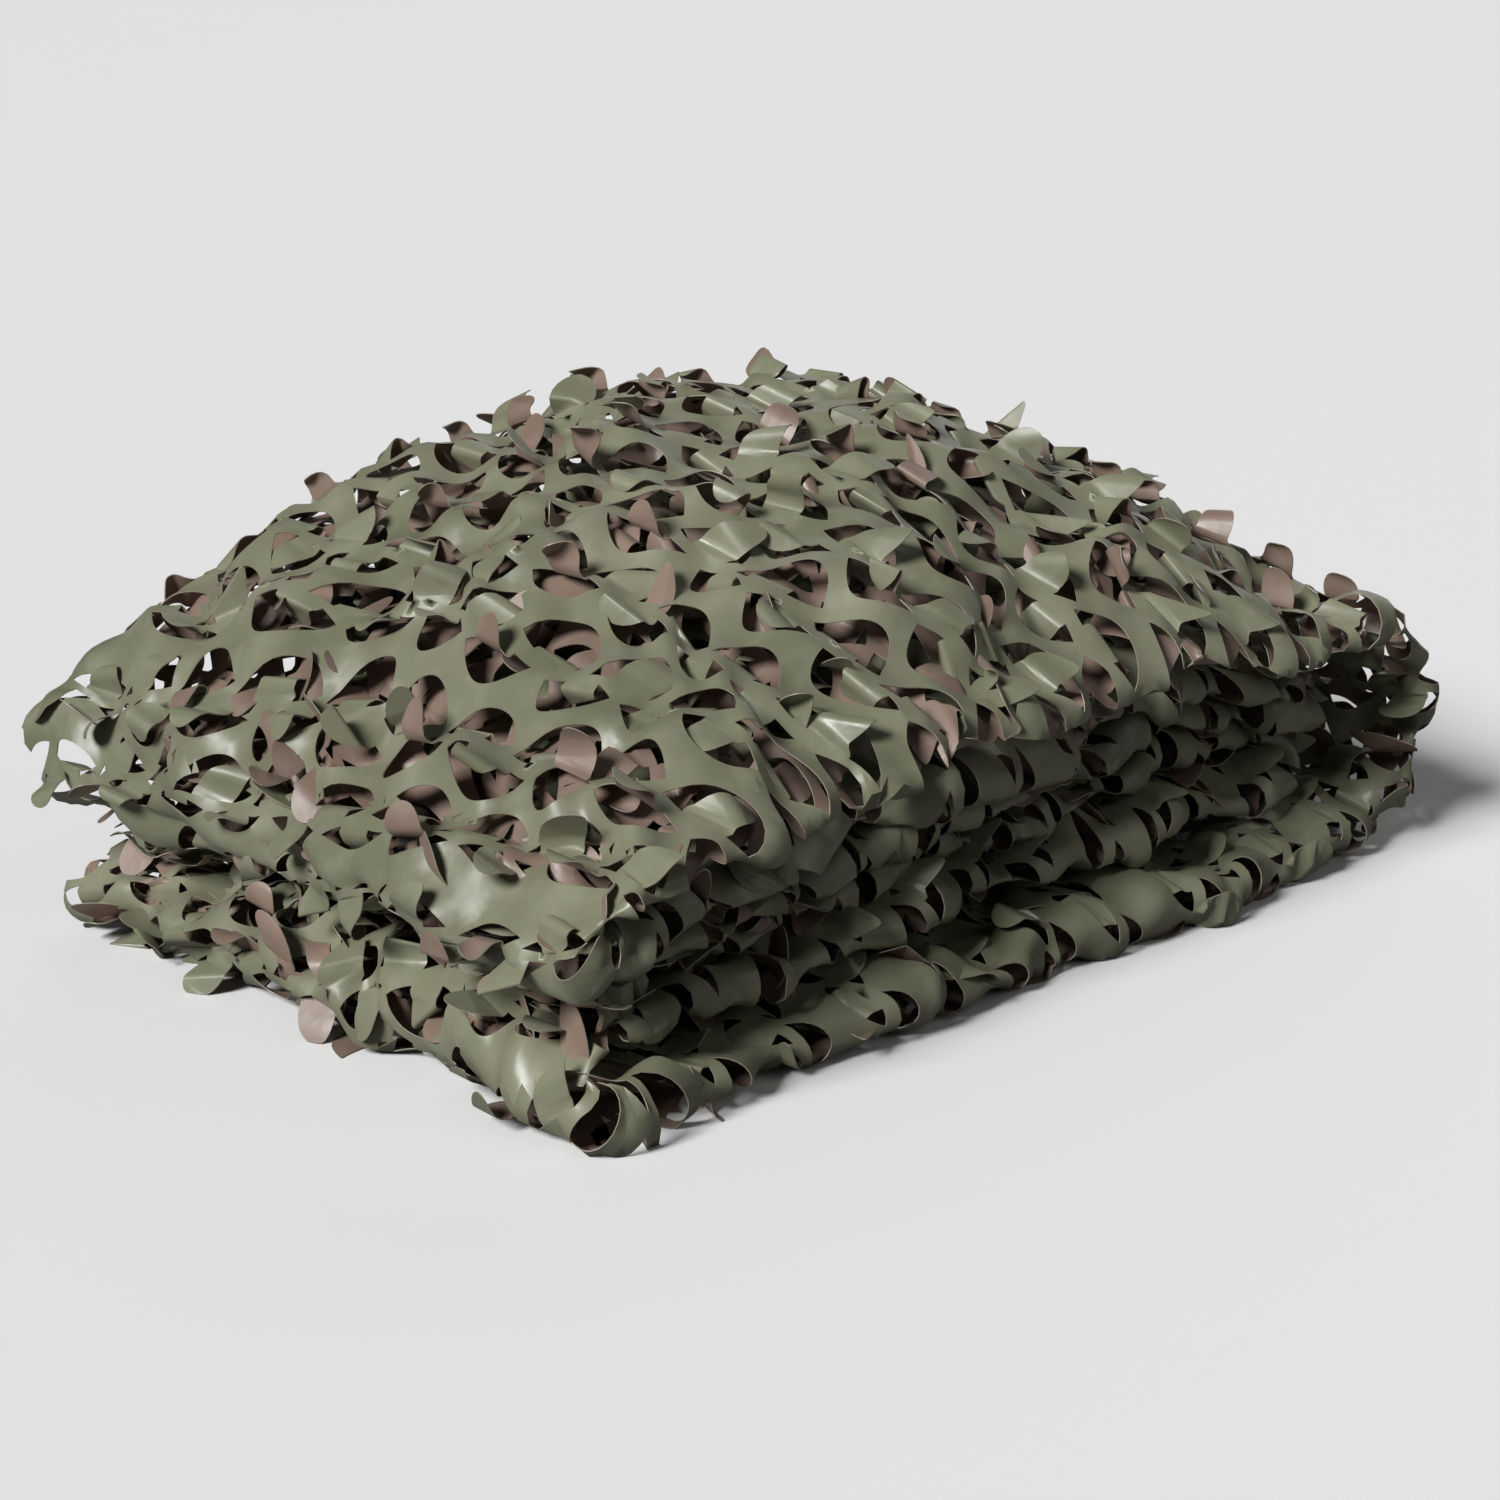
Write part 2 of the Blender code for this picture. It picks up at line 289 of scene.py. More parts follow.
# ---------------------------------------------------------------------------------------------
# The cuts and the web between them. Two kinds of C-shaped cut take turns all over the film. It
# is pulled open, so that each cut gapes: the opening is a lens, length by width, with a cusp at
# each end, and the leaf that hangs in it by its neck is a longer tongue with a hooked tip.
# ---------------------------------------------------------------------------------------------
Cut = namedtuple("Cut", "place side length width neck reach swell hook lean curl point")
CUT_KINDS = (
    Cut((0.000, 0.000), side=1, length=0.031, width=0.053, neck=0.027, reach=0.037, swell=0.008,
        hook=0.007, lean=0.18, curl=0.006, point=1.0),
    Cut((0.035, 0.029), side=-1, length=0.028, width=0.049, neck=0.025, reach=0.034, swell=0.007,
        hook=-0.007, lean=0.18, curl=0.006, point=1.0),
)
CUT_PITCH = np.array([0.067, 0.000])
CUT_ROW = np.array([0.011, 0.059])
CUTS_IN_REPEAT = 2
CUT_SHIFT = 0.0025
ROOT_SIDE_DEPTH = 0.25


def uneven_cuts():
    """The cuts of one repeat, none quite like another: two by two of each kind."""
    rng = np.random.default_rng(42)
    cuts = []
    for i in range(CUTS_IN_REPEAT):
        for j in range(CUTS_IN_REPEAT):
            for kind in CUT_KINDS:
                shift = rng.uniform(-CUT_SHIFT, CUT_SHIFT, 2)
                cuts.append(kind._replace(
                    place=kind.place + i * CUT_PITCH + j * CUT_ROW + shift,
                    length=kind.length * rng.uniform(0.85, 1.15),
                    width=kind.width * rng.uniform(0.88, 1.10),
                    reach=kind.reach * rng.uniform(0.85, 1.10),
                    hook=kind.hook * rng.uniform(-0.4, 1.8),
                    lean=kind.lean + rng.uniform(-0.15, 0.15),
                    curl=kind.curl * rng.uniform(-0.5, 1.5),
                    point=rng.uniform(0.8, 1.4),
                ))
    return cuts


CUTS = uneven_cuts()
PITCH = CUT_PITCH * CUTS_IN_REPEAT
ROW = CUT_ROW * CUTS_IN_REPEAT

# How the film lies and how finely it is meshed: how far the cuts gape, steps round each opening,
# round each leaf and along its root, steps through each of a leaf's bends, and points along and
# across the web of one repeat. Inside the pile and along the lower folds the net is pulled less.
Detail = namedtuple("Detail", "gape opening_steps leaf_steps root_steps bend_steps web_points")
FINE = Detail(gape=1.0, opening_steps=25, leaf_steps=16, root_steps=4, bend_steps=5, web_points=17)
TIGHT = FINE._replace(gape=0.6)
COARSE = Detail(gape=0.75, opening_steps=10, leaf_steps=6, root_steps=2, bend_steps=1, web_points=6)


def placed(cut, out, across):
    """Flat points of a cut from their way out of its root and across it."""
    curled = cut.curl * (2 * across / cut.width) ** 3
    along = cut.side * (out - cut.length / 2) + cut.lean * across + curled
    return np.stack([cut.place[0] + along, cut.place[1] + across], axis=-1)


def opening_edge(cut, gape, steps):
    """The edge of the opening in the web, from one end of the leaf's root to the other."""
    neck = cut.neck / cut.width
    near_steps = steps // 5
    near = np.linspace(neck, 1, near_steps + 1)
    far = np.linspace(-1, 1, steps - 2 * near_steps + 1)[1:-1]
    across = np.concatenate([-near, far, near[::-1]])
    root_side = ROOT_SIDE_DEPTH * (near**2 - neck**2)
    far_side = ROOT_SIDE_DEPTH * (1 - neck**2) + (1 - ROOT_SIDE_DEPTH) * (1 - far**2)
    out = np.concatenate([root_side, far_side, root_side[::-1]])
    return placed(cut, gape * cut.length * out, cut.width / 2 * across)


def leaf_edge(cut, steps):
    """The edge of the flat leaf, between the same two ends."""
    angle = np.linspace(0, math.pi, steps + 1)
    half_width = cut.neck / 2 + cut.swell * np.sin(angle)
    out = cut.reach * np.sin(angle) ** cut.point
    across = cut.hook * np.sin(angle) ** 3 - np.cos(angle) * half_width
    return placed(cut, out, across)


def outline(edge, root_steps):
    """A closed outline: the points along the root, then the rest of the edge."""
    root = edge[0] + (edge[-1] - edge[0]) * np.linspace(0, 1, root_steps + 1)[:, None]
    return np.vstack([root, edge[-2:0:-1]])


def opening_outline(cut, detail):
    """The closed outline of a cut's opening in the web."""
    return outline(opening_edge(cut, detail.gape, detail.opening_steps), detail.root_steps)


def loop_area(loop):
    """The area inside a closed outline."""
    x, y = loop.T
    return abs(x @ np.roll(y, -1) - y @ np.roll(x, -1)) / 2


NOT_ZERO = 1e-15


def is_inside(loop, points):
    """Whether points lie inside a closed outline: a line to their right crosses it oddly often."""
    inside = np.zeros(len(points), bool)
    for (x0, y0), (x1, y1) in zip(loop, np.roll(loop, -1, axis=0)):
        crossing = (y0 > points[:, 1]) != (y1 > points[:, 1])
        side = points[:, 0] < (x1 - x0) * (points[:, 1] - y0) / (y1 - y0 + NOT_ZERO) + x0
        inside ^= crossing & side
    return inside


def distance_to(loop, points):
    """How far points are from the nearest edge of a closed outline."""
    nearest = np.full(len(points), 1.0)
    for start, stop in zip(loop, np.roll(loop, -1, axis=0)):
        edge = stop - start
        part = np.clip((points - start) @ edge / (edge @ edge), 0, 1)
        nearest = np.minimum(nearest, np.linalg.norm(points - start - part[:, None] * edge, axis=1))
    return nearest


def lattice(i, j):
    """The origin of repeat i along the strip and j across it."""
    return np.multiply.outer(i, PITCH) + np.multiply.outer(j, ROW)


MERGE_DISTANCE = 1e-7


def triangles_of(points, edges):
    """Triangles between flat points, by the given edges, and which given point each one is."""
    found = delaunay_2d_cdt([Vector(point) for point in points], edges, [], 0, MERGE_DISTANCE)
    flat = np.array([tuple(point) for point in found[0]])
    came_from = [source[0] if source else -1 for source in found[3]]
    return flat, np.array(found[2]), np.array(came_from)


def loop_edges(first, count):
    """The edges of a closed loop of points that are numbered on from the first."""
    return [(first + k, first + (k + 1) % count) for k in range(count)]


def first_numbers(loops):
    """The number of each loop's first point when the loops follow each other."""
    return np.cumsum([0] + [len(loop) for loop in loops[:-1]])


# The repeats whose cuts reach into one repeat, along and across from it, and the least distance
# from an opening to a point of the web that isn't on one.
NEAR_REPEATS = [(i, j) for i in range(-1, 2) for j in range(-2, 2)]
WEB_MARGIN = 0.0030


def web_cell(detail):
    """One repeat of the web between the leaves.

    Returns its points, and its triangles as rows of corners. A corner is the number of a point
    and the repeat that it belongs to, along and across, from this one.
    """
    rng = np.random.default_rng(5)
    loops = [opening_outline(cut, detail) for cut in CUTS]
    count = detail.web_points
    grid = np.stack(np.meshgrid(np.arange(count), np.arange(count)), axis=-1).reshape(-1, 2)
    spots = (grid + rng.uniform(0.2, 0.8, grid.shape)) / count
    spots = spots[:, :1] * PITCH + spots[:, 1:] * ROW
    keep = np.ones(len(spots), bool)
    for i, j in NEAR_REPEATS:
        for loop in loops:
            there = loop + lattice(i, j)
            keep &= ~is_inside(there, spots) & (distance_to(there, spots) > WEB_MARGIN)
    cell = np.vstack(loops + [spots[keep]])
    firsts = first_numbers(loops)
    # The repeats round it are meshed too, so that its triangles fit theirs across the borders.
    points, edges, owners = [], [], []
    for i in range(-2, 3):
        for j in range(-3, 4):
            base = len(points) * len(cell)
            for first, loop in zip(firsts, loops):
                edges += [(base + a, base + b) for a, b in loop_edges(first, len(loop))]
            points.append(cell + lattice(i, j))
            owners += [(number, i, j) for number in range(len(cell))]
    flat, triangles, came_from = triangles_of(np.vstack(points), edges)
    middles = flat[triangles].mean(axis=1)
    across = middles[:, 1] / ROW[1]
    along = (middles[:, 0] - across * ROW[0]) / PITCH[0]
    mine = (along >= 0) & (along < 1) & (across >= 0) & (across < 1)
    for i, j in NEAR_REPEATS:
        for loop in loops:
            mine &= ~is_inside(loop + lattice(i, j), middles)
    corners = np.array(owners)[came_from[triangles[mine]]]
    return cell, corners


# ---------------------------------------------------------------------------------------------
# The leaves. Each is the film's own tongue inside a cut, still joined to the web at its root. It
# rolls along two straight lines: near its root, and again further out. A line is given by its
# distance from the root, its tilt and the width of film that the roll takes.
# ---------------------------------------------------------------------------------------------
Roll = namedtuple("Roll", "offset tilt width")
LeafShape = namedtuple("LeafShape", "kind inner outer points triangles root_points")
SHAPES_OF_EACH_CUT = 4
ROLL_LINE_REACH = 0.045
ROOT_CLEARANCE = 0.0022


def leaf_frame(kind):
    """The middle of a flat leaf's root, and the directions along the root and out to its tip."""
    first, tip, last = leaf_edge(CUTS[kind], 2)
    root = last - first
    out = np.array([root[1], -root[0]]) / np.linalg.norm(root)
    middle = (first + last) / 2
    out = out * np.sign((tip - middle) @ out)
    along = np.array([-out[1], out[0]])
    return middle, along, out


FRAMES = [leaf_frame(kind) for kind in range(len(CUTS))]


def roll_lines(roll, steps):
    """The ends of the straight lines that a roll needs in the leaf's mesh, clear of its root."""
    along = np.array([math.cos(roll.tilt), math.sin(roll.tilt)])
    out = np.array([-math.sin(roll.tilt), math.cos(roll.tilt)])
    lines = []
    for step in range(steps + 1):
        middle = np.array([0, roll.offset]) + out * roll.width * step / steps
        ends = [middle + along * reach for reach in (-ROLL_LINE_REACH, ROLL_LINE_REACH)]
        if ends[0][1] < ROOT_CLEARANCE and ends[1][1] < ROOT_CLEARANCE:
            continue
        for end, other in ((0, 1), (1, 0)):
            if ends[end][1] < ROOT_CLEARANCE:
                share = (ROOT_CLEARANCE - ends[other][1]) / (ends[end][1] - ends[other][1])
                ends[end] = ends[other] + (ends[end] - ends[other]) * share
        lines.append(ends)
    return lines


def leaf_shape(kind, inner, outer, detail):
    """The mesh of one flat leaf, with rows of edges where it rolls, in its own directions.

    Its root's points are the web's own. They are numbered first, and only the others are kept.
    """
    middle, along, out = FRAMES[kind]
    loop = outline(leaf_edge(CUTS[kind], detail.leaf_steps), detail.root_steps)
    loop = (loop - middle) @ np.stack([along, out], axis=-1)
    points = list(loop)
    edges = loop_edges(0, len(loop))
    for ends in roll_lines(inner, detail.bend_steps) + roll_lines(outer, detail.bend_steps):
        edges.append((len(points), len(points) + 1))
        points += ends
    flat, triangles, came_from = triangles_of(points, edges)
    triangles = triangles[is_inside(loop, flat[triangles].mean(axis=1))]
    used = np.unique(triangles)
    root_count = detail.root_steps + 1
    root_used = [int(np.flatnonzero(came_from == number)[0]) for number in range(root_count)]
    own = [number for number in used if number not in root_used]
    order = np.full(len(flat), -1)
    order[root_used] = np.arange(root_count)
    order[own] = np.arange(len(own)) + root_count
    return LeafShape(kind, inner, outer, flat[own], order[triangles][:, ::-1], root_count)


def leaf_shapes(detail):
    """Each kind of leaf in several shapes: the first rolls sharply near its tip, the rest softly."""
    rng = np.random.default_rng(11)
    shapes = []
    for kind in range(len(CUTS)):
        for number in range(SHAPES_OF_EACH_CUT):
            inner = Roll(
                offset=rng.uniform(0.0002, 0.002),
                tilt=rng.uniform(-0.16, 0.16),
                width=rng.uniform(0.009, 0.014),
            )
            width = rng.uniform(0.012, 0.018) if number > 0 else rng.uniform(0.003, 0.005)
            outer = Roll(offset=rng.uniform(0.013, 0.019), tilt=rng.uniform(-0.6, 0.6), width=width)
            shapes.append(leaf_shape(kind, inner, outer, detail))
    return shapes


# Every leaf's mood: how far it turns at its root and again near its tip, in degrees, and how
# steeply its root lifts the web. Positive is out of the green face. The last three columns say
# how common a mood is: on the near part of an outside layer, on its far part, and inside.
Mood = namedtuple("Mood", "inner inner_spread outer outer_spread lift near far inside")
MOODS = (
    Mood(inner=35, inner_spread=12, outer=-100, outer_spread=35, lift=0.35,
         near=0.32, far=0.21, inside=0.22),
    Mood(inner=70, inner_spread=18, outer=-112, outer_spread=40, lift=0.45,
         near=0.12, far=0.27, inside=0.26),
    Mood(inner=115, inner_spread=25, outer=30, outer_spread=25, lift=0.40,
         near=0.03, far=0.12, inside=0.08),
    Mood(inner=-95, inner_spread=20, outer=-40, outer_spread=35, lift=-0.35,
         near=0.32, far=0.28, inside=0.30),
    Mood(inner=-40, inner_spread=15, outer=-60, outer_spread=30, lift=-0.22,
         near=0.12, far=0.07, inside=0.10),
    Mood(inner=14, inner_spread=5, outer=-35, outer_spread=15, lift=0.10,
         near=0.08, far=0.05, inside=0.04),
)
# A leaf's turns stray by this many of its mood's spreads at most, and its lift by these shares.
LARGEST_SPREAD = 2
LEAST_LIFT = 0.6
MOST_LIFT = 1.3
# The far part lies towards the back and the right, along a line that is this mix of Y and X. The
# moods change over from its start across its width, and likewise towards the left end. The low
# folds have no far part.
FAR_Y = 0.75
FAR_X = 0.35
FAR_START = -0.25
FAR_WIDTH = 0.5
LEFT_END = LEFT_TURN + 0.08
LEFT_END_WIDTH = 0.1
LOW_FOLDS_TOP = 0.09
# On the far part, how much more often the leaves stand up that point back to the left end, and
# the others. The second and third moods stand.
STANDING = slice(1, 3)
STANDING_BACK = 2.2
STANDING_ONWARD = 0.45
# Where light would fall through it, round the back and the left end, the inside layer's leaves
# are pressed nearly flat.
PRESSED = 0.4
PRESSED_LEFT_OF = -0.22
PRESSED_BEHIND = 0.08
# The inside layer shows through the outside one in these sections, beyond the fold's own film.
SEEN_THROUGH = ("top_pass", "upper_left_turn", "lower_left_turn")
INSIDE_FROM = MIDDLE + 0.02
# The repeats that cover the whole strip: the first one's numbers and how many there are.
FIRST_REPEAT = np.array([-6, -3])
REPEATS = np.array([49, 18])


def is_inside_layer(flat):
    """Whether points lie on the layer that shows its brown face under an outside one."""
    inside = np.zeros(flat.shape[:-1], bool)
    for name in SEEN_THROUGH:
        start = SECTION_STARTS[name]
        inside |= (flat[..., 0] >= start) & (flat[..., 0] < start + section_length(SECTIONS[name]))
    return inside & (flat[..., 1] > INSIDE_FROM)


def far_share(place):
    """How far leaves have the moods of the far part: 0 on the near part and 1 on the far one."""
    far = np.clip((place[..., 1] * FAR_Y + place[..., 0] * FAR_X - FAR_START) / FAR_WIDTH, 0, 1)
    left = np.clip((LEFT_END - place[..., 0]) / LEFT_END_WIDTH, 0, 1)
    return np.maximum(far, left) * (place[..., 2] > LOW_FOLDS_TOP)


def leaf_moods():
    """The two turns and the lift of every leaf of the net."""
    rng = np.random.default_rng(23)
    i, j = np.meshgrid(*(np.arange(n) for n in REPEATS), indexing="ij")
    origins = lattice(i + FIRST_REPEAT[0], j + FIRST_REPEAT[1])
    moods = Mood(*np.array(MOODS).T)
    turns = np.zeros(tuple(REPEATS) + (len(CUTS), 3))
    for kind, (middle, _, _) in enumerate(FRAMES):
        flat = origins + middle
        place = in_pile(flat[..., 0], flat[..., 1])
        inside = is_inside_layer(flat)
        far = far_share(place)[..., None]
        outside_weights = moods.near + (moods.far - moods.near) * far
        weights = np.where(inside[..., None], moods.inside, outside_weights)
        standing = STANDING_BACK if CUTS[kind].side < 0 else STANDING_ONWARD
        weights[..., STANDING] *= 1 + (standing - 1) * far
        edges = np.cumsum(weights, axis=-1)
        pick = rng.uniform(size=place.shape[:2])[..., None] * edges[..., -1:]
        mood = (pick > edges).sum(axis=-1)
        spread = rng.normal(size=place.shape[:2] + (2,)).clip(-LARGEST_SPREAD, LARGEST_SPREAD)
        lift = moods.lift[mood] * rng.uniform(LEAST_LIFT, MOST_LIFT, size=place.shape[:2])
        outlying = (place[..., 0] < PRESSED_LEFT_OF) | (place[..., 1] > PRESSED_BEHIND)
        side = np.where(inside, -1, 1) * np.where(inside & outlying, PRESSED, 1)
        inner = np.radians(moods.inner[mood] + moods.inner_spread[mood] * spread[..., 0])
        outer = np.radians(moods.outer[mood] + moods.outer_spread[mood] * spread[..., 1])
        turns[..., kind, 0] = side * inner
        turns[..., kind, 1] = side * outer
        turns[..., kind, 2] = side * lift
    return turns


TURNS = leaf_moods()

# ---------------------------------------------------------------------------------------------
# The film in its folds. It is soft and thin, so it doesn't lie smoothly: it swells and sinks in
# long and short waves, is pulled out of square, and its leaves lift the web where they stand up.
# ---------------------------------------------------------------------------------------------
WAVE_COUNT = 14


def waves(points, seed, size, longest, shortest):
    """A soft random swell over the flat strip: the sum of some waves of any heading."""
    rng = np.random.default_rng(seed)
    total = np.zeros(points.shape[:-1])
    for _ in range(WAVE_COUNT):
        length = rng.uniform(shortest, longest)
        heading = rng.uniform(0, math.tau)
        direction = np.array([math.cos(heading), math.sin(heading)]) * math.tau / length
        total += np.sin(points @ direction + rng.uniform(0, math.tau))
    return total * size / math.sqrt(WAVE_COUNT / 2)


# How far from a leaf's root its lift of the web fades, along the root and out of it.
LIFT_ALONG_ROOT = 0.020
LIFT_OUT_OF_ROOT = 0.013


def crumpled(flat):
    """How far the web stands out of its smooth fold: its swell and what the leaves pull up."""
    height = waves(flat, seed=2, size=0.0050, longest=0.30, shortest=0.16)
    height += waves(flat, seed=3, size=0.0032, longest=0.12, shortest=0.07)
    height += waves(flat, seed=4, size=0.0028, longest=0.07, shortest=0.04)
    across = flat[..., 1] / ROW[1]
    along = (flat[..., 0] - across * ROW[0]) / PITCH[0]
    i0 = np.floor(along).astype(int)
    j0 = np.floor(across).astype(int)
    for i, j in NEAR_REPEATS:
        at = (i0 + i - FIRST_REPEAT[0], j0 + j - FIRST_REPEAT[1])
        for kind, (middle, root, out) in enumerate(FRAMES):
            offset = flat - lattice(i0 + i, j0 + j) - middle
            u, v = offset @ root, offset @ out
            fading = np.exp(-(u / LIFT_ALONG_ROOT) ** 2 / 2 - (v / LIFT_OUT_OF_ROOT) ** 2 / 2)
            height += TURNS[at][..., kind, 2] * v * fading
    return height


STILL_EDGE = 0.08


def drifted(flat):
    """The strip's points after the film has been pulled a little out of square."""
    pulls = []
    for seed in (6, 7):
        broad = waves(flat, seed, size=0.006, longest=0.30, shortest=0.15)
        fine = waves(flat, seed + 2, size=0.0025, longest=0.12, shortest=0.07)
        pulls.append(broad + fine)
    from_edge = np.minimum(flat, STRIP_SIZE - flat)
    return flat + np.stack(pulls, axis=-1) * np.clip(from_edge / STILL_EDGE, 0, 1)


# The folded strip is worked out once, on a fine grid that reaches a little past its edges.
GRID_STEP = 0.004
GRID_MARGIN = 0.060


SHORTEST = 1e-12


def unit(vectors):
    """The directions of vectors, each of length 1."""
    return vectors / (np.linalg.norm(vectors, axis=-1, keepdims=True) + SHORTEST)


def strip_grid():
    """The smooth place, the green side's direction and the crumpled place, on the grid."""
    along = np.arange(-GRID_MARGIN, NET_LENGTH + GRID_MARGIN, GRID_STEP)
    across = np.arange(-GRID_MARGIN, NET_WIDTH + GRID_MARGIN, GRID_STEP)
    flat = np.stack(np.meshgrid(along, across, indexing="ij"), axis=-1)
    moved = drifted(flat)
    smooth = in_pile(moved[..., 0], moved[..., 1])
    green = unit(np.cross(np.gradient(smooth, axis=1), np.gradient(smooth, axis=0)))
    height = crumpled(np.clip(flat, 0, STRIP_SIZE))[..., None]
    return np.concatenate([smooth, green, smooth + green * height], axis=-1)


STRIP = strip_grid()


def looked_up(flat):
    """The smooth place, green side and crumpled place of points of the strip, off the grid."""
    spot = (flat + GRID_MARGIN) / GRID_STEP
    limit = np.array(STRIP.shape[:2]) - 2
    corner = np.clip(np.floor(spot).astype(int), 0, limit)
    share = np.clip(spot - corner, 0, 1)
    i, j = corner[..., 0], corner[..., 1]
    a, b = share[..., :1], share[..., 1:]
    near = STRIP[i, j] * (1 - a) + STRIP[i + 1, j] * a
    far = STRIP[i, j + 1] * (1 - a) + STRIP[i + 1, j + 1] * a
    return near * (1 - b) + far * b


def green_side(flat):
    """The direction that the green face looks in, out of the smooth fold."""
    return unit(looked_up(flat)[..., 3:6])


def film_place(flat):
    """Where points of the flat web lie, with its crumples."""
    return looked_up(flat)[..., 6:]


# The smallest turn, in radians, that a roll is worked out with.
LEAST_TURN = 0.01


def rolled(place, roll, turn):
    """Rolls a leaf about a line, up towards the green side by positive turns."""
    out = np.array([-math.sin(roll.tilt), math.cos(roll.tilt)])
    beyond = place[..., 0] * out[0] + (place[..., 1] - roll.offset) * out[1]
    side = np.sign(turn)[:, None]
    size = np.maximum(np.abs(turn), LEAST_TURN)[:, None]
    radius = roll.width / size
    height = place[..., 2] * side
    angle = np.clip(beyond / radius, 0, size)
    rest = np.maximum(beyond - roll.width, 0)
    reach = (radius - height) * np.sin(angle) + rest * np.cos(angle)
    lifted = radius - (radius - height) * np.cos(angle) + rest * np.sin(angle)
    turned = beyond > 0
    shift = np.where(turned, reach - beyond, 0)
    return np.stack([
        place[..., 0] + shift * out[0],
        place[..., 1] + shift * out[1],
        side * np.where(turned, lifted, height),
    ], axis=-1)


def soft_step(value, start, stop):
    """A smooth change from 0 at the start to 1 at the stop."""
    part = np.clip((value - start) / (stop - start), 0, 1)
    return part * part * (3 - 2 * part)


# The film's bend at a root shows between its ends, and its slope between nearer places along the
# root and out of it. A leaf comes free of the web's own form across the blend. Across the
# sharpest folds no leaf hangs, and from the softest on a leaf keeps its own form.
ROOT_END = 0.015
ROOT_ALONG = 0.013
ROOT_OUT = 0.004
ROOT_BLEND = 0.009
SHARPEST_FOLD = 0.1
SOFTEST_FOLD = 0.8


def flatness_at_root(centres, root):
    """How well the film's directions agree at the two ends of leaves' roots: 1 where it is flat."""
    before, after = green_side(centres - ROOT_END * root), green_side(centres + ROOT_END * root)
    return (before * after).sum(axis=-1)


def leaf_place(shape, origins, turns):
    """The points of every leaf of one shape, for repeats at these origins.

    A leaf on flat film keeps its own straight lines, and one on a fold is wrapped round it.
    """
    middle, root, out = FRAMES[shape.kind]
    centre = origins + middle
    flat = shape.points[:, :1] * root + shape.points[:, 1:] * out + centre[:, None]
    own = np.broadcast_to(np.pad(shape.points, ((0, 0), (0, 1))), flat.shape[:2] + (3,))
    bent = rolled(rolled(own, shape.outer, turns[:, 1]), shape.inner, turns[:, 0])

    along = film_place(centre + ROOT_ALONG * root) - film_place(centre - ROOT_ALONG * root)
    along = along / np.linalg.norm(along, axis=-1, keepdims=True)
    outward = film_place(centre + ROOT_OUT * out) - film_place(centre - ROOT_OUT * out)
    normal = np.cross(along, outward)
    normal = normal / np.linalg.norm(normal, axis=-1, keepdims=True)
    outward = np.cross(normal, along)
    axes = np.stack([along, outward, normal], axis=1)
    straight = film_place(centre)[:, None] + bent @ axes

    bent_flat = bent[..., :1] * root + bent[..., 1:2] * out + centre[:, None]
    wrapped = film_place(bent_flat) + green_side(bent_flat) * bent[..., 2:]

    stiff = soft_step(flatness_at_root(centre, root), SHARPEST_FOLD, SOFTEST_FOLD)[:, None, None]
    place = straight * stiff + wrapped * (1 - stiff)
    free = soft_step(shape.points[:, 1], 0, ROOT_BLEND)[None, :, None]
    return place * free + film_place(flat) * (1 - free)


WEBS = {detail: web_cell(detail) for detail in (FINE, TIGHT, COARSE)}
LEAVES = {detail: leaf_shapes(detail) for detail in (FINE, TIGHT, COARSE)}


def repeats_between(start, stop, low, high):
    """The repeats whose middles lie in a part of the strip."""
    counts = [np.arange(count) + first for count, first in zip(REPEATS, FIRST_REPEAT)]
    i, j = np.meshgrid(*counts, indexing="ij")
    repeats = np.stack([i.ravel(), j.ravel()], axis=-1)
    middles = lattice(repeats[:, 0], repeats[:, 1]) + (PITCH + ROW) / 2
    inside = (middles[:, 0] >= start) & (middles[:, 0] < stop)
    inside &= (middles[:, 1] >= low) & (middles[:, 1] < high)
    return repeats[inside]


# The web's triangles reach into the repeats all round, so those are numbered with a piece's own.
# The table of their numbers has spare rows, where those below the first one find their place.
RING = np.array([(i, j) for i in range(-1, 2) for j in range(-2, 3)])
SPARE_ROWS = 8


def with_ring(repeats):
    """Some repeats with the ones round them, and a table of each one's number in that list."""
    everyone = np.unique((repeats[:, None] + RING).reshape(-1, 2), axis=0)
    numbers = np.zeros(REPEATS + SPARE_ROWS, int)
    numbers[tuple((everyone - FIRST_REPEAT).T)] = np.arange(len(everyone))
    return everyone, numbers


def web_triangles(detail, repeats, numbers):
    """The triangles of some repeats' web, by the numbers of their points."""
    cell, corners = WEBS[detail]
    triangles = []
    for triangle in corners:
        columns = []
        for point, i, j in triangle:
            at = repeats + [i, j] - FIRST_REPEAT
            columns.append(numbers[at[:, 0], at[:, 1]] * len(cell) + point)
        triangles.append(np.stack(columns, axis=-1))
    return np.vstack(triangles)


def flat_area(flat, triangles):
    """The area of triangles between flat points."""
    first = flat[triangles[:, 1]] - flat[triangles[:, 0]]
    second = flat[triangles[:, 2]] - flat[triangles[:, 0]]
    return np.abs(first[:, 0] * second[:, 1] - first[:, 1] * second[:, 0]).sum() / 2


# How far inside the strip's edges a leaf's root has to be.
EDGE_CLEARANCE = 0.004


def can_hang(centres, root):
    """Whether leaves with these root middles lie within the strip and on no sharp fold."""
    within = (centres > EDGE_CLEARANCE) & (centres < STRIP_SIZE - EDGE_CLEARANCE)
    return within.all(axis=-1) & (flatness_at_root(centres, root) > SHARPEST_FOLD)


# How far the film may stand out of the solid's box, along, across and up.
STAND_PROUD = np.array([0.018, 0.014, 0.020])
FLOOR_GAP = 0.0005


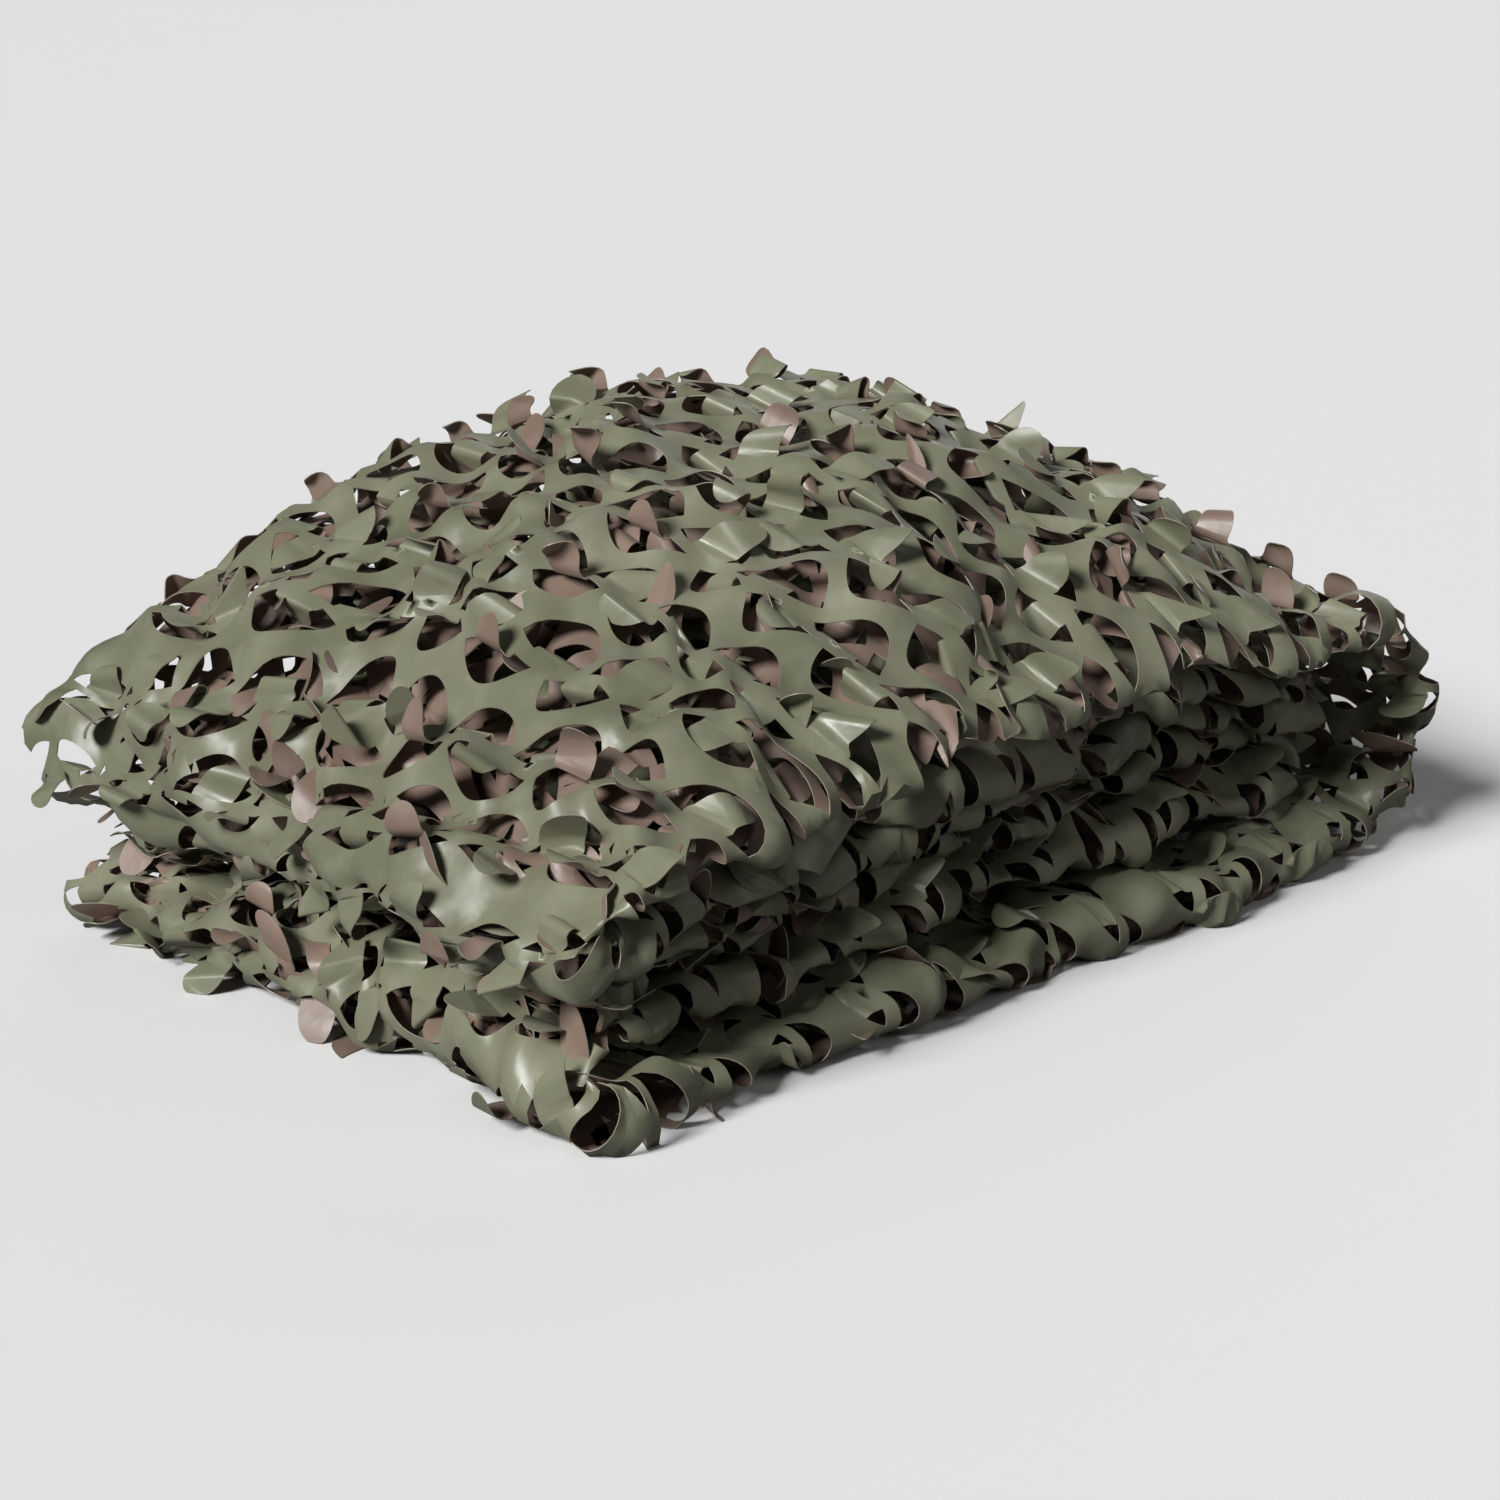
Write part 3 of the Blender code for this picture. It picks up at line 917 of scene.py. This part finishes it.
def within_reach(points):
    """Keeps the film above the floor, and eases back what would stand too far out of the pile."""
    low, high = (np.array(corner) for corner in cad_box)
    over = points - high
    eased = high + STAND_PROUD * np.tanh(np.maximum(over, 0) / STAND_PROUD)
    points = np.where(over > 0, eased, points)
    under = low - points
    under[:, 2] = 0
    eased = low - STAND_PROUD * np.tanh(np.maximum(under, 0) / STAND_PROUD)
    points = np.where(under > 0, eased, points)
    points[:, 2] = np.maximum(points[:, 2], FLOOR_GAP)
    return points


# Twice the area of the smallest triangle that is kept.
SLIVER = 1e-9


def mesh_of(name, points, faces):
    """A mesh with no slivers and no loose points."""
    edges = points[faces[:, 1:]] - points[faces[:, :1]]
    normals = np.cross(edges[:, 0], edges[:, 1])
    faces = faces[np.linalg.norm(normals, axis=-1) > SLIVER]
    used, faces = np.unique(faces, return_inverse=True)
    mesh = bpy.data.meshes.new(name)
    mesh.from_pydata(points[used], [], faces.reshape(-1, 3)[:, ::-1])
    return mesh


def film_mesh(name, repeats, detail, calm):
    """The film of some repeats: the web, and each leaf in one of its shapes, joined at its root.

    Returns its mesh, its flat width and length, and the flat area of its film.
    """
    cell, _ = WEBS[detail]
    everyone, numbers = with_ring(repeats)
    origins = lattice(everyone[:, 0], everyone[:, 1])
    flat = np.clip(cell[None] + origins[:, None], 0, STRIP_SIZE)
    points = [film_place(flat).reshape(-1, 3)]
    flat = flat.reshape(-1, 2)
    web = web_triangles(detail, repeats, numbers)
    faces = [web]
    area = flat_area(flat, web)
    length, width = np.ptp(flat[np.unique(web)], axis=0)

    rng = np.random.default_rng(31 + len(repeats))
    home = numbers[tuple((repeats - FIRST_REPEAT).T)]
    roots = first_numbers([opening_outline(cut, detail) for cut in CUTS])
    count = len(points[0])
    for kind, (middle, along_root, _) in enumerate(FRAMES):
        hanging = can_hang(origins[home] + middle, along_root)
        picks = rng.integers(0, SHAPES_OF_EACH_CUT, len(repeats))
        for pick in range(SHAPES_OF_EACH_CUT):
            chosen = np.flatnonzero(hanging & (picks == pick))
            if not len(chosen):
                continue
            shape = LEAVES[detail][kind * SHAPES_OF_EACH_CUT + pick]
            at = repeats[chosen] - FIRST_REPEAT
            turns = TURNS[at[:, 0], at[:, 1], kind] * calm
            place = leaf_place(shape, origins[home[chosen]], turns)
            fresh_count = place.shape[0] * place.shape[1]
            root = home[chosen][:, None] * len(cell) + roots[kind] + np.arange(shape.root_points)
            fresh = count + np.arange(fresh_count).reshape(place.shape[:2])
            own_points = np.concatenate([root, fresh], axis=1)
            faces.append(own_points[:, shape.triangles].reshape(-1, 3))
            points.append(place.reshape(-1, 3))
            area += len(chosen) * loop_area(leaf_edge(CUTS[kind], detail.leaf_steps))
            count += fresh_count

    mesh = mesh_of(name, within_reach(np.vstack(points) + SHIFT), np.vstack(faces))
    return mesh, (width, length), min(area, length * width)


# ---------------------------------------------------------------------------------------------
# The film's finish: a satin coat, olive green on one face and earthy brown on the other, with
# the pale core showing at every cut. It fades unevenly, blooms in patches and wrinkles finely.
# ---------------------------------------------------------------------------------------------
def new_group(name, inputs, outputs):
    group = bpy.data.node_groups.new(name, "ShaderNodeTree")
    for label, kind, value in inputs:
        socket = group.interface.new_socket(name=label, in_out="INPUT", socket_type=kind)
        socket.default_value = value
    for label, kind in outputs:
        group.interface.new_socket(name=label, in_out="OUTPUT", socket_type=kind)
    return group, group.nodes.new("NodeGroupInput"), group.nodes.new("NodeGroupOutput")


def noise(tree, place, scale, detail, distortion=0.0):
    node = tree.nodes.new("ShaderNodeTexNoise")
    node.inputs["Scale"].default_value = scale
    node.inputs["Detail"].default_value = detail
    node.inputs["Distortion"].default_value = distortion
    tree.links.new(place, node.inputs["Vector"])
    return node.outputs["Fac"]


def mapped(tree, value, given_range, wanted_range):
    node = tree.nodes.new("ShaderNodeMapRange")
    labels = ("From Min", "From Max", "To Min", "To Max")
    for label, number in zip(labels, given_range + wanted_range):
        node.inputs[label].default_value = number
    tree.links.new(value, node.inputs["Value"])
    return node.outputs["Result"]


# The Mix node's colour sockets, which share their names with its other ones.
MIX_FIRST = 6
MIX_SECOND = 7
MIX_RESULT = 2


def mixed(tree, factor, first, second):
    node = tree.nodes.new("ShaderNodeMix")
    node.data_type = "RGBA"
    tree.links.new(factor, node.inputs["Factor"])
    tree.links.new(first, node.inputs[MIX_FIRST])
    tree.links.new(second, node.inputs[MIX_SECOND])
    return node.outputs[MIX_RESULT]


def film_colour_group():
    """Colour that changes slowly over the film, with a duller bloom in patches."""
    group, given, put_out = new_group(
        "film_colour",
        [("Deep", "NodeSocketColor", (0, 0, 0, 1)), ("Faded", "NodeSocketColor", (1, 1, 1, 1)),
         ("Bloom", "NodeSocketColor", (1, 1, 1, 1))],
        [("Colour", "NodeSocketColor"), ("Roughness", "NodeSocketFloat")],
    )
    place = group.nodes.new("ShaderNodeTexCoord").outputs["Object"]
    broad = noise(group, place, scale=9.0, detail=3.0)
    patches = noise(group, place, scale=38.0, detail=5.0, distortion=0.4)
    fading = mapped(group, broad, (0.36, 0.64), (0, 1))
    base = mixed(group, fading, given.outputs["Deep"], given.outputs["Faded"])
    blooming = mapped(group, patches, (0.50, 0.78), (0, 0.55))
    colour = mixed(group, blooming, base, given.outputs["Bloom"])
    roughness = mapped(group, patches, (0.35, 0.70), (0.34, 0.50))
    group.links.new(colour, put_out.inputs["Colour"])
    group.links.new(roughness, put_out.inputs["Roughness"])
    return group


def film_wrinkle_group():
    """The fine creases and the faint grain of the coated film."""
    group, given, put_out = new_group(
        "film_wrinkles",
        [("Crease Depth", "NodeSocketFloat", 1.0), ("Grain Depth", "NodeSocketFloat", 0.1)],
        [("Height", "NodeSocketFloat")],
    )
    place = group.nodes.new("ShaderNodeTexCoord").outputs["Object"]
    stretched = group.nodes.new("ShaderNodeMapping")
    stretched.inputs["Scale"].default_value = (1.0, 1.7, 1.3)
    stretched.inputs["Rotation"].default_value = (0.3, 0.5, 0.7)
    group.links.new(place, stretched.inputs["Vector"])
    creases = noise(group, stretched.outputs["Vector"], scale=26.0, detail=2.0, distortion=0.5)
    grain = noise(group, place, scale=900.0, detail=2.0)
    parts = []
    for source, depth in ((creases, "Crease Depth"), (grain, "Grain Depth")):
        node = group.nodes.new("ShaderNodeMath")
        node.operation = "MULTIPLY"
        group.links.new(source, node.inputs[0])
        group.links.new(given.outputs[depth], node.inputs[1])
        parts.append(node.outputs[0])
    total = group.nodes.new("ShaderNodeMath")
    group.links.new(parts[0], total.inputs[0])
    group.links.new(parts[1], total.inputs[1])
    group.links.new(total.outputs[0], put_out.inputs["Height"])
    return group


FILM_COLOUR = film_colour_group()
FILM_WRINKLES = film_wrinkle_group()


def film_finish(name, deep, faded, bloom, crease_depth, specular):
    """The satin coat of one face or edge, with its own colours."""
    material = bpy.data.materials.new(name)
    material.use_nodes = True
    tree = material.node_tree
    shader = tree.nodes["Principled BSDF"]
    colour = tree.nodes.new("ShaderNodeGroup")
    colour.node_tree = FILM_COLOUR
    colour.inputs["Deep"].default_value = (*deep, 1)
    colour.inputs["Faded"].default_value = (*faded, 1)
    colour.inputs["Bloom"].default_value = (*bloom, 1)
    wrinkles = tree.nodes.new("ShaderNodeGroup")
    wrinkles.node_tree = FILM_WRINKLES
    wrinkles.inputs["Crease Depth"].default_value = crease_depth
    wrinkles.inputs["Grain Depth"].default_value = 0.03
    bump = tree.nodes.new("ShaderNodeBump")
    bump.inputs["Distance"].default_value = 0.0008
    tree.links.new(wrinkles.outputs["Height"], bump.inputs["Height"])
    tree.links.new(bump.outputs["Normal"], shader.inputs["Normal"])
    tree.links.new(colour.outputs["Colour"], shader.inputs["Base Color"])
    tree.links.new(colour.outputs["Roughness"], shader.inputs["Roughness"])
    shader.inputs["Specular IOR Level"].default_value = specular
    shader.inputs["Sheen Weight"].default_value = 0.04
    shader.inputs["Sheen Roughness"].default_value = 0.4
    return material


GREEN_FACE = film_finish(
    "green_face", deep=(0.177, 0.180, 0.114), faded=(0.238, 0.240, 0.160),
    bloom=(0.276, 0.278, 0.202), crease_depth=1.0, specular=0.55)
BROWN_FACE = film_finish(
    "brown_face", deep=(0.205, 0.144, 0.111), faded=(0.268, 0.190, 0.150),
    bloom=(0.300, 0.227, 0.186), crease_depth=1.0, specular=0.5)
CUT_EDGE = film_finish(
    "cut_edge", deep=(0.27, 0.24, 0.19), faded=(0.34, 0.31, 0.25), bloom=(0.40, 0.37, 0.31),
    crease_depth=0.4, specular=0.4)

FILM_THICKNESS = 0.0007
SHARP_EDGE = math.radians(55)


def film_piece(name, mesh, flat, area):
    """A part of the net as a piece: thin film with its two faces and its cut edge."""
    piece = bpy.data.objects.new(name, mesh)
    bpy.context.scene.collection.objects.link(piece)
    for material in (GREEN_FACE, BROWN_FACE, CUT_EDGE):
        mesh.materials.append(material)
    mesh.shade_smooth()
    skin = piece.modifiers.new("film", "SOLIDIFY")
    skin.thickness = FILM_THICKNESS
    skin.offset = 0
    skin.material_offset = 1
    skin.material_offset_rim = 2
    bpy.context.view_layer.update()
    thickened = piece.evaluated_get(bpy.context.evaluated_depsgraph_get())
    shell = bpy.data.meshes.new_from_object(thickened)
    shell.set_sharp_from_angle(angle=SHARP_EDGE)
    piece.modifiers.clear()
    piece.data = shell
    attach(piece, "root")
    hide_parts("net")


def net_part(name, first_section, last_section, low, high, detail, calm):
    """The part of the net along some sections, from low to high across the strip.

    Calm is the share of its full turns that each leaf makes.
    """
    start = SECTION_STARTS[first_section]
    stop = SECTION_STARTS[last_section] + section_length(SECTIONS[last_section])
    repeats = repeats_between(start, stop, low, high)
    film_piece(name, *film_mesh(name, repeats, detail, calm))


# ---------------------------------------------------------------------------------------------
# The floor: one plain matt sheet that the net lies on. It looks as pale as the room behind it,
# and it throws little light back, so that the depths of the net stay dark.
# ---------------------------------------------------------------------------------------------
def show_two_ways(tree, to_light, to_camera, surface):
    """Shows one shader to the camera, while another one meets the light."""
    path = tree.nodes.new("ShaderNodeLightPath")
    choice = tree.nodes.new("ShaderNodeMixShader")
    tree.links.new(path.outputs["Is Camera Ray"], choice.inputs["Fac"])
    tree.links.new(to_light, choice.inputs[1])
    tree.links.new(to_camera, choice.inputs[2])
    tree.links.new(choice.outputs["Shader"], surface)


FLOOR_HALF = 40.0
FLOOR_SIDES = ((-1, -1), (1, -1), (1, 1), (-1, 1))
floor_corners = [(FLOOR_HALF * x, FLOOR_HALF * y, 0) for x, y in FLOOR_SIDES]
floor_mesh = bpy.data.meshes.new("floor")
floor_mesh.from_pydata(floor_corners, [], [(0, 1, 2, 3)])
floor = bpy.data.objects.new("floor", floor_mesh)
bpy.context.scene.collection.objects.link(floor)
floor_material = bpy.data.materials.new("pale_floor")
floor_material.use_nodes = True
floor_nodes = floor_material.node_tree.nodes
pale_floor = floor_nodes["Principled BSDF"]
pale_floor.inputs["Base Color"].default_value = (1.0, 1.0, 1.0, 1)
pale_floor.inputs["Roughness"].default_value = 0.9
dim_floor = floor_nodes.new("ShaderNodeBsdfDiffuse")
dim_floor.inputs["Color"].default_value = (0.20, 0.20, 0.20, 1)
show_two_ways(floor_material.node_tree, dim_floor.outputs["BSDF"], pale_floor.outputs["BSDF"],
              floor_nodes["Material Output"].inputs["Surface"])
floor_mesh.materials.append(floor_material)

# ---------------------------------------------------------------------------------------------
# The top pass: the two layers that show most, folded at the front. Its outer layer has its green
# face up, and the inner layer under it shows its brown face through the open cuts. Along its
# free edge at the back the inner layer is pulled less.
# ---------------------------------------------------------------------------------------------
TOP_SEAM = NET_WIDTH - 0.20
net_part("top_pass_outer", "top_pass", "top_pass", 0, MIDDLE, FINE, calm=1.0)
net_part("top_pass_inner", "top_pass", "top_pass", MIDDLE, TOP_SEAM, FINE, calm=1.0)
net_part("top_pass_inner_edge", "top_pass", "top_pass", TOP_SEAM, NET_WIDTH, TIGHT, calm=0.8)

# ---------------------------------------------------------------------------------------------
# The turns at the two ends, where the same film bends from one pass into the next: the wide open
# one at the right, and two tighter ones at the left, pressed by the passes above them.
# ---------------------------------------------------------------------------------------------
net_part("wide_turn", "wide_turn", "wide_turn", 0, NET_WIDTH, FINE, calm=1.0)
TURN_SEAM = MIDDLE + 0.10
for name, detail, calm in (("upper_left_turn", TIGHT, 0.6), ("lower_left_turn", FINE, 1.0)):
    net_part(name + "_outer", name, name, 0, TURN_SEAM, detail, calm=1.0)
    net_part(name + "_inner", name, name, TURN_SEAM, NET_WIDTH, detail, calm)

# ---------------------------------------------------------------------------------------------
# The lower passes, of the same film. They show along their front folds, where their cuts gape
# least, and along their free edges at the back, and are hidden between.
# ---------------------------------------------------------------------------------------------
Passes = namedtuple("Passes", "name first last")
LOWER_PASSES = (
    Passes("bottom_pass", first="bottom_pass", last="bottom_pass"),
    Passes("lower_passes", first="second_pass", last="third_pass"),
    Passes("upper_passes", first="fourth_pass", last="fifth_pass"),
)
EDGE_BAND = 0.13
Band = namedtuple("Band", "name low high detail calm")
BANDS = (
    Band("front", MIDDLE - EDGE_BAND, MIDDLE + EDGE_BAND, TIGHT, calm=0.4),
    Band("back_outer", 0, EDGE_BAND, FINE, calm=1.0),
    Band("back_inner", NET_WIDTH - EDGE_BAND, NET_WIDTH, FINE, calm=1.0),
    Band("hidden_outer", EDGE_BAND, MIDDLE - EDGE_BAND, COARSE, calm=0.5),
    Band("hidden_inner", MIDDLE + EDGE_BAND, NET_WIDTH - EDGE_BAND, COARSE, calm=0.5),
)
for passes in LOWER_PASSES:
    for band in BANDS:
        name = passes.name + "_" + band.name
        net_part(name, passes.first, passes.last, band.low, band.high, band.detail, band.calm)

# ---------------------------------------------------------------------------------------------
# The light: a dim even room with a pale backdrop, one strong soft lamp high at the left, and
# weak ones in front and behind.
# ---------------------------------------------------------------------------------------------
world = bpy.data.worlds.new("room")
bpy.context.scene.world = world
world.use_nodes = True
room = world.node_tree
room_light = room.nodes["Background"]
room_light.inputs["Color"].default_value = (1.0, 1.0, 1.0, 1)
room_light.inputs["Strength"].default_value = 0.028
backdrop = room.nodes.new("ShaderNodeBackground")
backdrop.inputs["Color"].default_value = (0.79, 0.79, 0.79, 1)
show_two_ways(room, room_light.outputs["Background"], backdrop.outputs["Background"],
              room.nodes["World Output"].inputs["Surface"])


def soft_sun(name, place, strength, spread):
    lamp = bpy.data.lights.new(name, "SUN")
    lamp.energy = strength
    lamp.angle = math.radians(spread)
    stand = bpy.data.objects.new(name, lamp)
    stand.location = place
    stand.rotation_euler = (-Vector(place)).to_track_quat("-Z", "Y").to_euler()
    bpy.context.scene.collection.objects.link(stand)


soft_sun("key_lamp", place=(-2.8, -0.2, 2.0), strength=3.6, spread=20)
soft_sun("fill_lamp", place=(0.8, -2.6, 1.8), strength=0.22, spread=50)
soft_sun("back_lamp", place=(2.4, 1.2, 1.0), strength=0.40, spread=50)

# ---------------------------------------------------------------------------------------------
# The camera: out in front of the near left corner with a long lens, turned to the right and
# tilted a little down.
# ---------------------------------------------------------------------------------------------
TURNED_RIGHT = 44.68
TILTED_DOWN = 16.45
camera_data = bpy.data.cameras.new("camera")
camera_data.lens = 72.0
camera_data.sensor_width = 36.0
camera = bpy.data.objects.new("camera", camera_data)
camera.location = (-1.561, -1.553, 0.754)
camera.rotation_euler = (math.radians(90 - TILTED_DOWN), 0, math.radians(-TURNED_RIGHT))
bpy.context.scene.collection.objects.link(camera)
bpy.context.scene.camera = camera
bpy.context.scene.view_settings.view_transform = "Standard"
